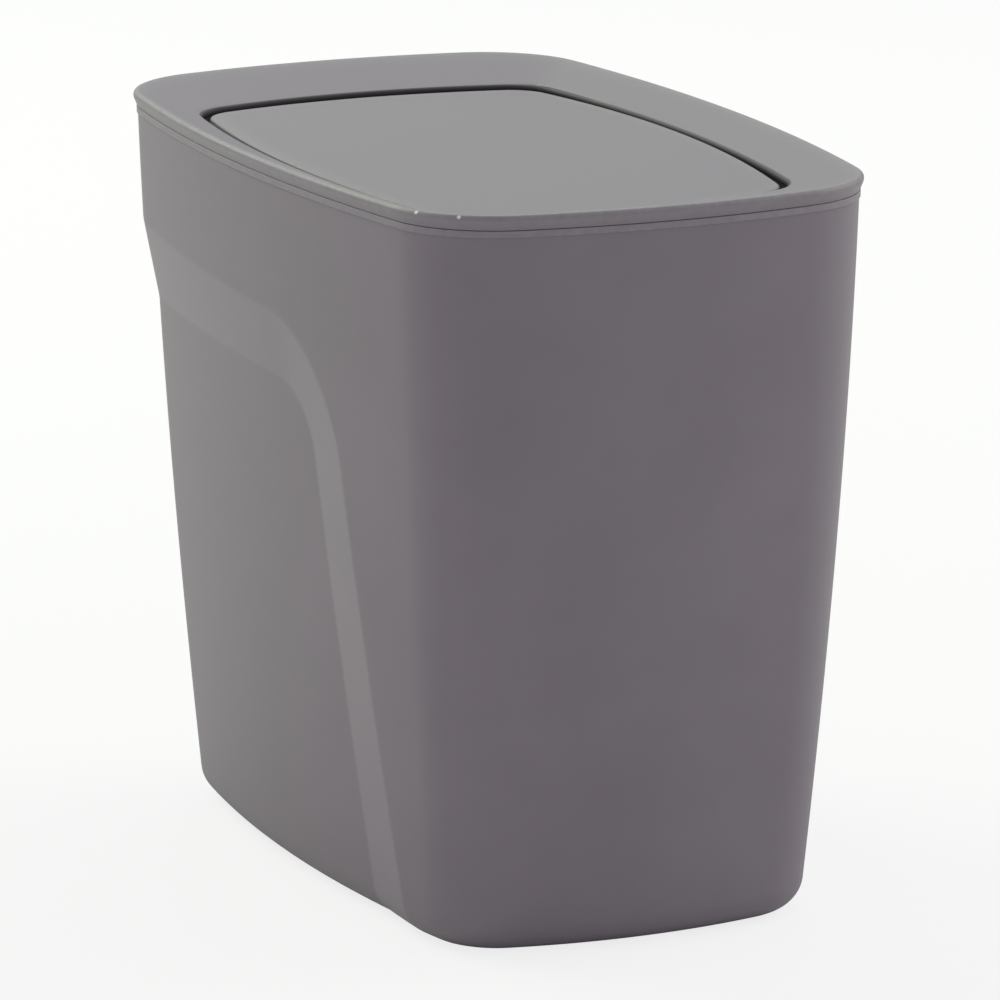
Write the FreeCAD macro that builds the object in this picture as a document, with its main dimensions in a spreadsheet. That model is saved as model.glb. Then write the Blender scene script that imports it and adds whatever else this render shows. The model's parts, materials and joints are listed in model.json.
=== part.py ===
"""Free-standing kitchen bin with a swing flap, as a parametric FreeCAD document.

A tapered bucket with a stepped-in rear half carries a dished lid frame. A crowned
flap swings both ways on two push-in pins at the middle of the frame's long sides.

Frame, in millimetres: the origin is at the middle of the base, +Z is up, X is across
the bin, and the bin is longest along Y. The plain, rounded front faces -Y.
"""
import FreeCAD, Part
import Sketcher
import math
import os

Vector = FreeCAD.Vector

# Driving dimensions. Each one becomes a named cell of the sheet.
SIZES = {
    # Heights
    "crest_height": 250.0,
    "parting_height": 245.0,
    # Lid outline at its widest: a rectangle with bowed ends and sides
    "lid_half_width": 91.2,
    "lid_half_depth": 147.7,
    "lid_end_radius": 271.5,
    "lid_side_radius": 765.0,
    "lid_corner_radius": 38.6,
    # Lid bead, channel and plug skirt
    "bead_lift": 0.3,
    "bead_chamfer_height": 2.7,
    "bead_chamfer_inset": 1.2,
    "bead_round": 1.4,
    "crest_inset": 1.7,
    "channel_height": 2.5,
    "channel_outer_inset": 1.9,
    "channel_inner_inset": 4.1,
    "skirt_inset": 5.0,
    "skirt_thickness": 1.8,
    "skirt_depth": 11.0,
    # Dished top of the lid, its opening, and the collar round that
    "dish_drop": 6.5,
    "lid_skin": 2.0,
    "opening_half_width": 72.8,
    "opening_half_depth": 113.8,
    "opening_end_radius": 203.1,
    "opening_side_radius": 569.6,
    "opening_corner_radius": 18.1,
    "lip_round": 2.2,
    "collar_thickness": 1.8,
    "collar_foot_height": 233.0,
    # Body foot outline, before its edge is rounded
    "foot_half_width": 75.6,
    "foot_half_depth": 128.4,
    "foot_end_radius": 203.4,
    "foot_side_radius": 631.0,
    "foot_corner_radius": 27.6,
    "foot_round": 10.5,
    # Body wall
    "body_setback": 1.4,
    "wall_bulge": 0.0195,
    "wall_thickness": 2.2,
    "floor_thickness": 2.6,
    "rim_band_height": 2.3,
    "rim_band_proud": 0.35,
    "tongue_inset": 2.2,
    # Stepped-in rear half: outer and inner edge of the sloping shoulder
    "recess_depth": 3.9,
    "outer_shoulder_height": 200.6,
    "outer_shoulder_slope": 0.04,
    "outer_leg_foot": 90.2,
    "outer_bend": 43.0,
    "inner_shoulder_height": 175.3,
    "inner_shoulder_slope": 0.02,
    "inner_leg_foot": 63.6,
    "inner_bend": 21.0,
    "leg_lean": 0.15,
    "knee_behind_leg": 52.0,
    # Swing flap
    "flap_half_width": 71.4,
    "flap_half_depth": 111.2,
    "flap_end_radius": 200.5,
    "flap_side_radius": 500.0,
    "flap_corner_radius": 15.5,
    "flap_top": 243.5,
    "flap_crown": 1.0,
    "flap_skin": 1.6,
    "flap_rim_thickness": 2.0,
    "flap_rim_foot": 226.0,
    "flap_edge_round": 0.8,
    "flap_rib_thickness": 1.6,
    "flap_rib_spacing": 52.0,
    "flap_rib_foot": 233.0,
    # Pivot
    "pivot_height": 240.2,
    "pin_diameter": 3.2,
    "pin_head_diameter": 5.6,
    "pin_head_length": 1.5,
    "pin_tip_chamfer": 0.5,
    "pin_running_fit": 0.08,
    "pin_seat_fit": 0.02,
    "flap_boss_diameter": 6.0,
    "flap_boss_length": 8.0,
    "frame_boss_diameter": 6.0,
    "frame_boss_reach": 78.0,
}

doc = FreeCAD.newDocument("swing_flap_bin")


def make_sheet(sizes):
    """Write the driving dimensions into a sheet, one aliased cell each."""
    sheet = doc.addObject("Spreadsheet::Sheet", "Sizes")
    for row, (alias, value) in enumerate(sizes.items(), start=1):
        sheet.set(f"A{row}", alias.replace("_", " "))
        sheet.set(f"B{row}", str(value))
        sheet.setAlias(f"B{row}", alias)
    doc.recompute()
    return sheet


SHEET = make_sheet(SIZES)


def size(alias):
    """Read one driving dimension back from the sheet."""
    return float(SHEET.get(alias))


# Bowed outlines

class BowedOutline:
    """A rectangle with bowed ends and sides and tangent corner arcs, at one level.

    Offsets keep every arc's centre, so an inset only shortens the radii.
    """

    def __init__(self, half_width, half_depth, end_radius, side_radius, corner_radius):
        self.half_width = half_width
        self.half_depth = half_depth
        self.end_radius = end_radius
        self.side_radius = side_radius
        self.corner_radius = corner_radius
        self.end_centre_y = half_depth - end_radius
        self.side_centre_x = half_width - side_radius
        self.corner_x, self.corner_y = self._corner_centre()

    def _corner_centre(self):
        """Centre of the arc that touches the end at +Y and the side at +X from inside."""
        end_reach = self.end_radius - self.corner_radius
        side_reach = self.side_radius - self.corner_radius
        span = math.hypot(self.side_centre_x, self.end_centre_y)
        along = (side_reach**2 - end_reach**2 + span**2) / (2 * span)
        across = math.sqrt(side_reach**2 - along**2)
        unit_x = -self.side_centre_x / span
        unit_y = self.end_centre_y / span
        return (self.side_centre_x + along * unit_x - across * unit_y,
                along * unit_y + across * unit_x)

    def end_angle(self):
        """Angle from +X at which the +Y end arc meets its corner."""
        return math.atan2(self.corner_y - self.end_centre_y, self.corner_x)

    def side_angle(self):
        """Angle from +X at which the +X side arc meets its corner."""
        return math.atan2(self.corner_y, self.corner_x - self.side_centre_x)

    def on_end(self, angle, inset=0.0):
        """Point of the +Y end arc at an angle from +X."""
        reach = self.end_radius - inset
        return reach * math.cos(angle), self.end_centre_y + reach * math.sin(angle)

    def on_corner(self, angle, inset=0.0):
        """Point of the corner arc at an angle from +X."""
        reach = self.corner_radius - inset
        return self.corner_x + reach * math.cos(angle), self.corner_y + reach * math.sin(angle)

    def on_side(self, along_y, inset=0.0):
        """Point of the +X side arc that is nearest to a place along Y."""
        angle = math.asin(along_y / self.side_radius)
        reach = self.side_radius - inset
        return self.side_centre_x + reach * math.cos(angle), reach * math.sin(angle)


def outline_of(family, inset=0.0):
    """The bowed outline of a family of sizes, moved inwards by inset."""
    names = ("half_width", "half_depth", "end_radius", "side_radius", "corner_radius")
    return BowedOutline(*[size(f"{family}_{name}") - inset for name in names])


# Bucket

def mix(low, high, share):
    """Value a share of the way from low to high."""
    return low + (high - low) * share


def wall_outline(height):
    """Outer outline of the bucket at a height: tapered, with a slight bulge."""
    share = height / size("parting_height")
    bulge = 1 + size("wall_bulge") * 4 * share * (1 - share)
    foot = outline_of("foot")
    rim = outline_of("lid", size("body_setback"))
    return BowedOutline(
        mix(foot.half_width, rim.half_width, share) * bulge,
        mix(foot.half_depth, rim.half_depth, share) * bulge,
        mix(foot.end_radius, rim.end_radius, share),
        mix(foot.side_radius, rim.side_radius, share),
        mix(foot.corner_radius, rim.corner_radius, share),
    )


CROSSING_ERROR = 1e-6


class ShoulderEdge:
    """One edge of the sloping shoulder, seen from the side: a run, a bend and a leg."""

    def __init__(self, name):
        self.height = size(f"{name}_shoulder_height")
        self.slope = size(f"{name}_shoulder_slope")
        self.foot = -size(f"{name}_leg_foot")
        self.bend = size(f"{name}_bend")
        self.lean = size("leg_lean")

    def behind_leg(self, along_y, height):
        """Distance behind the leg's line."""
        return (along_y - self.foot - self.lean * height) / math.hypot(1, self.lean)

    def below_run(self, along_y, height):
        """Distance below the run's line."""
        return (self.height + self.slope * along_y - height) / math.hypot(1, self.slope)

    def inside(self, along_y, height):
        """Distance inside the edge, with the corner rounded by the bend."""
        behind = self.behind_leg(along_y, height)
        below = self.below_run(along_y, height)
        if behind >= self.bend or below >= self.bend:
            return min(behind, below)
        return self.bend - math.hypot(self.bend - behind, self.bend - below)

    def crossing(self, level, slope):
        """Place along Y where the line height = level + slope * y meets the edge."""
        front = self.foot - self.bend
        rear = self.foot + self.lean * self.height + self.bend
        while rear - front > CROSSING_ERROR:
            middle = (front + rear) / 2
            if self.inside(middle, level + slope * middle) < 0:
                front = middle
            else:
                rear = middle
        return rear


OUTER_EDGE = ShoulderEdge("outer")
INNER_EDGE = ShoulderEdge("inner")

# Where the sections of the two skins lie: steps round the foot's edge, shares of the way up
# the leg, the inner bend and the shoulder, and shares of the way across the shoulder's slope
OUTSIDE = {
    "foot_steps": 4,
    "leg": (0.5, 1.0),
    "bend": (0.45, 0.75, 0.92, 1.0),
    "shoulder": (0.2, 0.4, 0.6, 0.8, 1.0),
    "upper": (0.5, 1.0),
    "slope": (0.0, 0.25, 0.5, 0.75, 1.0),
}
INSIDE = {
    "foot_steps": 3,
    "leg": (0.5, 1.0),
    "bend": (0.75, 1.0),
    "shoulder": (0.5, 1.0),
    "upper": (1.0,),
    "slope": (0.0, 0.5, 1.0),
}


def recess(along_y, height):
    """How far the wall stands in at a place: 0 in front, full depth at the rear."""
    past_outer = OUTER_EDGE.inside(along_y, height)
    before_inner = -INNER_EDGE.inside(along_y, height)
    if past_outer <= 0:
        return 0.0
    if before_inner <= 0:
        return size("recess_depth")
    return size("recess_depth") * past_outer / (past_outer + before_inner)


def section_slope(level):
    """Slope along Y of a section, so that sections lie along the shoulder's runs."""
    stops = (
        (size("foot_round"), 0.0),
        (INNER_EDGE.height, INNER_EDGE.slope),
        (OUTER_EDGE.height, OUTER_EDGE.slope),
        (size("parting_height") - 2 * size("rim_band_height"), 0.0),
    )
    if level <= stops[0][0]:
        return 0.0
    for (low, low_slope), (high, high_slope) in zip(stops, stops[1:]):
        if level <= high:
            return mix(low_slope, high_slope, (level - low) / (high - low))
    return 0.0


def section_wire(level, inset, slope_stops):
    """Closed wire round the bucket at a level, inset from the outer wall."""
    slope = section_slope(level)
    flat = wall_outline(level)
    run_start = OUTER_EDGE.crossing(OUTER_EDGE.height, OUTER_EDGE.slope)
    if level < OUTER_EDGE.height:
        front_edge = OUTER_EDGE.crossing(level, slope)
    else:
        front_edge = run_start
    if level < INNER_EDGE.height:
        knee = INNER_EDGE.crossing(level, slope)
    else:
        knee = OUTER_EDGE.foot + OUTER_EDGE.lean * level + size("knee_behind_leg")

    def place(along_y, pick):
        """Point of the outer wall near a place along Y, moved in by the inset and the recess."""
        height = level + slope * along_y
        across, along = pick(wall_outline(height), inset + recess(along_y, height))
        return Vector(across, along, height)

    def end(front, share):
        """Point of an end arc, from its middle (0) to its corner (1)."""
        def pick(outline, total):
            across, along = outline.on_end(mix(math.pi / 2, outline.end_angle(), share), total)
            return across, -along if front else along
        return place(-flat.half_depth if front else flat.half_depth, pick)

    def corner(front, share):
        """Point of a corner arc, from its end (0) to its side (1)."""
        def pick(outline, total):
            angle = mix(outline.end_angle(), outline.side_angle(), share)
            across, along = outline.on_corner(angle, total)
            return across, -along if front else along
        angle = mix(flat.end_angle(), flat.side_angle(), share)
        along_y = flat.on_corner(angle)[1]
        return place(-along_y if front else along_y, pick)

    def side(along_y):
        """Point of the side arc at a place along Y."""
        return place(along_y, lambda outline, total: outline.on_side(along_y, total))

    reach = flat.on_corner(flat.side_angle())[1]
    half = [
        (end(True, 0.0), end(True, 0.5), end(True, 1.0)),
        (end(True, 1.0), corner(True, 0.5), corner(True, 1.0)),
        (corner(True, 1.0), side((front_edge - reach) / 2), side(front_edge)),
        *((side(mix(front_edge, knee, low)), None, side(mix(front_edge, knee, high)))
          for low, high in zip(slope_stops, slope_stops[1:])),
        (side(knee), side((knee + reach) / 2), corner(False, 1.0)),
        (corner(False, 1.0), corner(False, 0.5), corner(False, 0.0)),
        (corner(False, 0.0), end(False, 0.5), end(False, 0.0)),
    ]
    mirrored = [tuple(flip(point) for point in reversed(piece)) for piece in reversed(half)]
    return Part.Wire([edge_through(*piece) for piece in half + mirrored])


def flip(point):
    """The same point on the other long side."""
    return None if point is None else Vector(-point.x, point.y, point.z)


def edge_through(start, middle, finish):
    """An arc through three points, or a line where no middle is given."""
    if middle is None:
        return Part.LineSegment(start, finish).toShape()
    return Part.Arc(start, middle, finish).toShape()


def rounded_levels(base, radius, steps):
    """Levels and insets of a rounded bottom edge, from the base upwards."""
    turns = [math.pi / 2 * step / steps for step in range(steps + 1)]
    return [(base + radius * (1 - math.cos(turn)), radius * (1 - math.sin(turn))) for turn in turns]


def wall_levels(skin):
    """Levels of a skin's sections above the rounded foot, close together at the shoulder."""
    bend_start = INNER_EDGE.height - INNER_EDGE.bend
    spans = (
        ("leg", size("foot_round"), OUTER_EDGE.height - OUTER_EDGE.bend),
        ("bend", bend_start, INNER_EDGE.height),
        ("shoulder", INNER_EDGE.height, OUTER_EDGE.height),
        ("upper", OUTER_EDGE.height, size("parting_height")),
    )
    return [mix(low, high, share) for name, low, high in spans for share in skin[name]]


def skin_solid(skin, base, radius, inset, *levels_above):
    """Solid inside one skin of the bucket, from its base to the rim or to levels above it."""
    rows = rounded_levels(base, radius, skin["foot_steps"])
    rows += [(level, 0.0) for level in (*wall_levels(skin), *levels_above)]
    wires = [section_wire(level, inset + rounding, skin["slope"]) for level, rounding in rows]
    return Part.makeLoft(wires, True, True)


def outline_prism(outline, low, high):
    """Upright prism of a bowed outline between two heights."""
    def arc(pick, start, finish):
        return [Vector(*pick(mix(start, finish, share)), low) for share in (0.0, 0.5, 1.0)]

    def on_side(turn):
        return outline.on_side(outline.side_radius * math.sin(turn))

    rear = [
        arc(outline.on_end, math.pi / 2, outline.end_angle()),
        arc(outline.on_corner, outline.end_angle(), outline.side_angle()),
        arc(on_side, outline.side_angle(), 0.0),
    ]
    front = [[Vector(point.x, -point.y, low) for point in reversed(piece)] for piece in reversed(rear)]
    right = rear + front
    left = [[flip(point) for point in reversed(piece)] for piece in reversed(right)]
    wire = Part.Wire([edge_through(*piece) for piece in right + left])
    return Part.Face(wire).extrude(Vector(0, 0, high - low))


def make_bin_body():
    """Bucket: a stepped, tapered shell with a rim band and a tongue that the lid sits on."""
    top = size("parting_height")
    wall = size("wall_thickness")
    outside = skin_solid(OUTSIDE, 0.0, size("foot_round"), 0.0)
    inside = skin_solid(INSIDE, size("floor_thickness"), size("foot_round") - wall, wall,
                        top + 2 * size("channel_height"))
    band_top = top - size("bead_lift") / 2
    band = outline_prism(outline_of("lid", size("body_setback") - size("rim_band_proud")),
                         band_top - size("rim_band_height"), band_top)
    tongue = outline_prism(outline_of("lid", size("tongue_inset")),
                           top - size("rim_band_height"), top + size("channel_height"))
    part = doc.addObject("Part::Feature", "BinBody")
    part.Label = "bin_body"
    part.Shape = outside.fuse([band, tongue]).cut(inside).removeSplitter()
    part.Placement = FreeCAD.Placement()
    return part


# Sketched pieces

def new_body(label):
    """An empty body with its own name."""
    body = doc.addObject("PartDesign::Body", label.title().replace("_", ""))
    body.Label = label
    return body


def new_sketch(body, name, plane="XY_Plane", offset=None):
    """A sketch on one of the body's own planes, lifted off it by an expression."""
    sketch = body.newObject("Sketcher::SketchObject", name)
    support = next(item for item in body.Origin.OriginFeatures if item.Role == plane)
    sketch.AttachmentSupport = [(support, "")]
    sketch.MapMode = "FlatFace"
    if offset:
        sketch.setExpression("AttachmentOffset.Base.z", offset)
    return sketch


def constrain(sketch, name, expression, *arguments):
    """Add a named dimension and bind it to the sheet."""
    index = sketch.addConstraint(Sketcher.Constraint(*arguments))
    sketch.renameConstraint(index, name)
    sketch.setExpression(f"Constraints.{name}", expression)


def draw_outline(sketch, family, inset="0", prefix="outline"):
    """Draw a bowed outline as eight tangent arcs, each size bound to the sheet."""
    shape = outline_of(family, float(SHEET.evalExpression(inset)))
    end_turn = math.pi / 2 - shape.end_angle()
    side_turn = shape.side_angle()
    end_y = abs(shape.end_centre_y)
    side_x = abs(shape.side_centre_x)
    right = math.pi / 2
    arcs = (
        ((0, end_y), shape.end_radius, -right - end_turn, -right + end_turn),
        ((shape.corner_x, -shape.corner_y), shape.corner_radius, -right + end_turn, -side_turn),
        ((-side_x, 0), shape.side_radius, -side_turn, side_turn),
        ((shape.corner_x, shape.corner_y), shape.corner_radius, side_turn, right - end_turn),
        ((0, -end_y), shape.end_radius, right - end_turn, right + end_turn),
        ((-shape.corner_x, shape.corner_y), shape.corner_radius, right + end_turn, 2 * right - side_turn),
        ((side_x, 0), shape.side_radius, 2 * right - side_turn, 2 * right + side_turn),
        ((-shape.corner_x, -shape.corner_y), shape.corner_radius,
         2 * right + side_turn, 3 * right - end_turn),
    )
    first = sketch.GeometryCount
    for (centre_x, centre_y), radius, start, finish in arcs:
        circle = Part.Circle(Vector(centre_x, centre_y, 0), Vector(0, 0, 1), radius)
        sketch.addGeometry(Part.ArcOfCircle(circle, start, finish), False)
    front, side, rear, other_side = first, first + 2, first + 4, first + 6
    corners = [first + 1, first + 3, first + 5, first + 7]
    for step in range(8):
        sketch.addConstraint(Sketcher.Constraint("Tangent", first + step, 2, first + (step + 1) % 8, 1))
    for arc, axis in ((front, -2), (rear, -2), (side, -1), (other_side, -1)):
        sketch.addConstraint(Sketcher.Constraint("PointOnObject", arc, 3, axis))
    for one, other in ((front, rear), (side, other_side), *((corners[0], corner) for corner in corners[1:])):
        sketch.addConstraint(Sketcher.Constraint("Equal", one, other))
    for arc, name in ((front, "end"), (side, "side"), (corners[0], "corner")):
        radius = arcs[arc - first][1]
        constrain(sketch, f"{prefix}_{name}_radius", f"Sizes.{family}_{name}_radius - ({inset})",
                  "Radius", arc, radius)
    end_offset = f"Sizes.{family}_end_radius - Sizes.{family}_half_depth"
    side_offset = f"Sizes.{family}_side_radius - Sizes.{family}_half_width"
    constrain(sketch, f"{prefix}_front_offset", end_offset, "DistanceY", -1, 1, front, 3, end_y)
    constrain(sketch, f"{prefix}_rear_offset", end_offset, "DistanceY", rear, 3, -1, 1, end_y)
    constrain(sketch, f"{prefix}_side_offset", side_offset, "DistanceX", side, 3, -1, 1, side_x)
    constrain(sketch, f"{prefix}_other_side_offset", side_offset, "DistanceX", -1, 1, other_side, 3, side_x)


def outline_sketch(body, name, height, family, *insets):
    """A level sketch that holds one bowed outline per inset, or the outline itself."""
    sketch = new_sketch(body, name, offset=height)
    for number, inset in enumerate(insets or ("0",)):
        draw_outline(sketch, family, inset, f"outline{number}")
    return sketch


def pad(body, name, sketch, length, downwards=False):
    """Extrude a sketch by an expression."""
    feature = body.newObject("PartDesign::Pad", name)
    feature.Profile = sketch
    feature.setExpression("Length", length)
    feature.Reversed = downwards
    return feature


def pocket(body, name, sketch, length, upwards=False):
    """Cut a sketch into the body by an expression, downwards unless told otherwise."""
    feature = body.newObject("PartDesign::Pocket", name)
    feature.Profile = sketch
    feature.setExpression("Length", length)
    feature.Reversed = upwards
    return feature


def loft(body, name, kind, first, second):
    """Ruled loft between two sketches, added or cut away."""
    feature = body.newObject(f"PartDesign::{kind}Loft", name)
    feature.Profile = first
    feature.Sections = [second]
    feature.Ruled = True
    return feature


TOUCHING = 0.01


def on_wall(edge, wall):
    """Whether the middle of an edge lies on a wall's surface."""
    middle = edge.valueAt((edge.FirstParameter + edge.LastParameter) / 2)
    return wall.distToShape(Part.Vertex(middle))[0] < TOUCHING


def edges_where(feature, wall, lowest):
    """Names of a feature's edges that lie on a wall, none of them below a height."""
    return [
        f"Edge{number}" for number, edge in enumerate(feature.Shape.Edges, start=1)
        if edge.BoundBox.ZMin > lowest - TOUCHING and on_wall(edge, wall)
    ]


def outline_wall(family):
    """Surface of a tall prism of an outline, for finding the edges that lie on it."""
    return outline_prism(outline_of(family), 0.0, 2 * size("crest_height")).Shells[0]


def round_edges(body, name, blank, wall, lowest, radius):
    """Round the edges of a blank that lie on a wall, none of them below a height."""
    doc.recompute()
    rounded = body.newObject("PartDesign::Fillet", name)
    rounded.Base = (blank, edges_where(blank, wall, lowest))
    rounded.setExpression("Radius", radius)
    return rounded


def circle_sketch(body, name, offset, diameter, height):
    """A circle across the X axis, at a height, on a plane moved along X."""
    sketch = new_sketch(body, name, "YZ_Plane", offset)
    radius = float(SHEET.evalExpression(diameter)) / 2
    centre = float(SHEET.evalExpression(height))
    sketch.addGeometry(Part.Circle(Vector(0, centre, 0), Vector(0, 0, 1), radius), False)
    sketch.addConstraint(Sketcher.Constraint("PointOnObject", 0, 3, -2))
    constrain(sketch, "height", height, "DistanceY", -1, 1, 0, 3, centre)
    constrain(sketch, "diameter", diameter, "Diameter", 0, 2 * radius)
    return sketch


SIDES = (("Right", 1), ("Left", -1))


def make_lid_frame():
    """Dished frame with a bead over the rim, a plug skirt and a collar that holds the pins."""
    body = new_body("lid_frame")
    foot = "Sizes.parting_height + Sizes.bead_lift"
    nose = f"{foot} + Sizes.bead_chamfer_height"
    under = "Sizes.crest_height - Sizes.lid_skin"
    loft(body, "BeadChamfer", "Additive",
         outline_sketch(body, "BeadFoot", foot, "lid", "Sizes.bead_chamfer_inset"),
         outline_sketch(body, "BeadNose", nose, "lid"))
    pad(body, "Bead", outline_sketch(body, "BeadSide", nose, "lid"), f"Sizes.crest_height - ({nose})")
    pad(body, "Skirt", outline_sketch(body, "SkirtOutside", foot, "lid", "Sizes.skirt_inset"),
        "Sizes.skirt_depth", downwards=True)
    skirt_foot = f"{foot} - Sizes.skirt_depth"
    pocket(body, "Cavity",
           outline_sketch(body, "SkirtInside", skirt_foot, "lid",
                          "Sizes.skirt_inset + Sizes.skirt_thickness"),
           f"{under} - ({skirt_foot})", upwards=True)
    loft(body, "DishUnderside", "Additive",
         outline_sketch(body, "UnderCrest", under, "lid", "Sizes.crest_inset"),
         outline_sketch(body, "UnderFloor", f"{under} - Sizes.dish_drop", "opening"))
    pad(body, "Collar",
        outline_sketch(body, "CollarOutside", "Sizes.collar_foot_height", "opening", "-Sizes.collar_thickness"),
        f"{under} - Sizes.collar_foot_height")
    loft(body, "Dish", "Subtractive",
         outline_sketch(body, "Crest", "Sizes.crest_height", "lid", "Sizes.crest_inset"),
         outline_sketch(body, "DishFloor", "Sizes.crest_height - Sizes.dish_drop", "opening"))
    pocket(body, "Opening",
           outline_sketch(body, "OpeningOutline", "Sizes.crest_height", "opening"),
           "2 * (Sizes.crest_height - Sizes.collar_foot_height)")
    channel = outline_sketch(body, "ChannelOutline", foot, "lid",
                             "Sizes.channel_outer_inset", "Sizes.channel_inner_inset")
    blank = pocket(body, "Channel", channel, "Sizes.channel_height - Sizes.bead_lift", upwards=True)
    crest = size("crest_height")
    rounded = round_edges(body, "BeadRound", blank, outline_wall("lid"), crest, "Sizes.bead_round")
    lip = crest - size("dish_drop") - size("lid_skin")
    round_edges(body, "LipRound", rounded, outline_wall("opening"), lip, "Sizes.lip_round")

    collar_middle = "Sizes.opening_half_width + Sizes.collar_thickness / 2"
    for name, sign in SIDES:
        pad(body, f"{name}Boss",
            circle_sketch(body, f"{name}BossOutline", f"{sign} * ({collar_middle})",
                          "Sizes.frame_boss_diameter", "Sizes.pivot_height"),
            f"Sizes.frame_boss_reach - ({collar_middle})", downwards=sign < 0)
        pocket(body, f"{name}Socket",
               circle_sketch(body, f"{name}SocketOutline", f"{sign} * Sizes.frame_boss_reach",
                             "Sizes.pin_diameter + 2 * Sizes.pin_seat_fit", "Sizes.pivot_height"),
               "Sizes.frame_boss_reach - Sizes.flap_half_width", upwards=sign < 0)
    doc.recompute()
    return body


def block(name, family, inset, low, high):
    """Upright block of a bowed outline between two heights, for booleans."""
    sketch = doc.addObject("Sketcher::SketchObject", f"{name}Outline")
    draw_outline(sketch, family, inset)
    sketch.setExpression("Placement.Base.z", low)
    solid = doc.addObject("Part::Extrusion", name)
    solid.Base = sketch
    solid.DirMode = "Normal"
    solid.setExpression("LengthFwd", f"{high} - ({low})")
    solid.Solid = True
    return solid


def rod(name, radius, start, length, height):
    """Cylinder along X at a height."""
    solid = doc.addObject("Part::Cylinder", name)
    solid.Placement = FreeCAD.Placement(Vector(), FreeCAD.Rotation(Vector(0, 1, 0), 90))
    solid.setExpression("Radius", radius)
    solid.setExpression("Height", length)
    solid.setExpression("Placement.Base.x", start)
    solid.setExpression("Placement.Base.z", height)
    return solid


def box(name, length, width, low, high, across, along="0"):
    """Upright box, centred on a place across and along the bin."""
    solid = doc.addObject("Part::Box", name)
    solid.setExpression("Length", length)
    solid.setExpression("Width", width)
    solid.setExpression("Height", f"{high} - ({low})")
    solid.setExpression("Placement.Base.x", f"{across} - ({length}) / 2")
    solid.setExpression("Placement.Base.y", f"{along} - ({width}) / 2")
    solid.setExpression("Placement.Base.z", low)
    return solid


def combine(kind, name, base, *tools):
    """Boolean of a base with one tool, or with a union of several."""
    if kind == "Fuse":
        joined = doc.addObject("Part::MultiFuse", name)
        joined.Shapes = [base, *tools]
        return joined
    result = doc.addObject(f"Part::{kind}", name)
    result.Base = base
    result.Tool = tools[0] if len(tools) == 1 else combine("Fuse", f"{name}Tools", *tools)
    return result


def make_swing_flap():
    """Crowned panel with a deep rim, ribs under it and a bored boss at each pivot."""
    crown = "(Sizes.flap_half_depth ^ 2 / (2 * Sizes.flap_crown))"
    width = "2 * Sizes.flap_half_width"
    centre = f"Sizes.flap_top - {crown}"
    outside = combine("Common", "FlapOutside",
                      block("FlapBlock", "flap", "0", "Sizes.flap_rim_foot", "Sizes.flap_top"),
                      rod("FlapCrown", crown, "-Sizes.flap_half_width", width, centre))
    inside = combine("Common", "FlapInside",
                     block("FlapHollow", "flap", "Sizes.flap_rim_thickness",
                           "Sizes.flap_rim_foot", "Sizes.flap_top"),
                     rod("FlapUnderside", f"{crown} - Sizes.flap_skin",
                         "-Sizes.flap_half_width", width, centre))
    stiffeners = [
        box(f"{name}Rib", "Sizes.flap_rib_thickness", "2 * Sizes.flap_half_depth", "Sizes.flap_rib_foot",
            "Sizes.flap_top", f"{sign} * Sizes.flap_rib_spacing / 2")
        for name, sign in SIDES
    ]
    stiffeners.append(box("CrossRib", width, "Sizes.flap_rib_thickness", "Sizes.flap_rib_foot",
                          "Sizes.flap_top", "0"))
    bores = []
    for name, sign in SIDES:
        start = "Sizes.flap_half_width - Sizes.flap_boss_length" if sign > 0 else "-Sizes.flap_half_width"
        stiffeners.append(rod(f"Flap{name}Boss", "Sizes.flap_boss_diameter / 2", start,
                              "Sizes.flap_boss_length", "Sizes.pivot_height"))
        bores.append(rod(f"Flap{name}Bore", "Sizes.pin_diameter / 2 + Sizes.pin_running_fit", start,
                         "Sizes.flap_boss_length", "Sizes.pivot_height"))
    hollow = combine("Cut", "FlapHollowAroundRibs", inside, *stiffeners)
    shell = combine("Cut", "FlapShell", outside, hollow, *bores)
    doc.recompute()
    lowest = size("flap_top") - size("flap_crown")
    radius = size("flap_edge_round")
    flap = doc.addObject("Part::Fillet", "SwingFlap")
    flap.Label = "swing_flap"
    flap.Base = shell
    flap.Edges = [
        (int(name.removeprefix("Edge")), radius, radius)
        for name in edges_where(shell, outline_wall("flap"), lowest)
    ]
    doc.recompute()
    return flap


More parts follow.
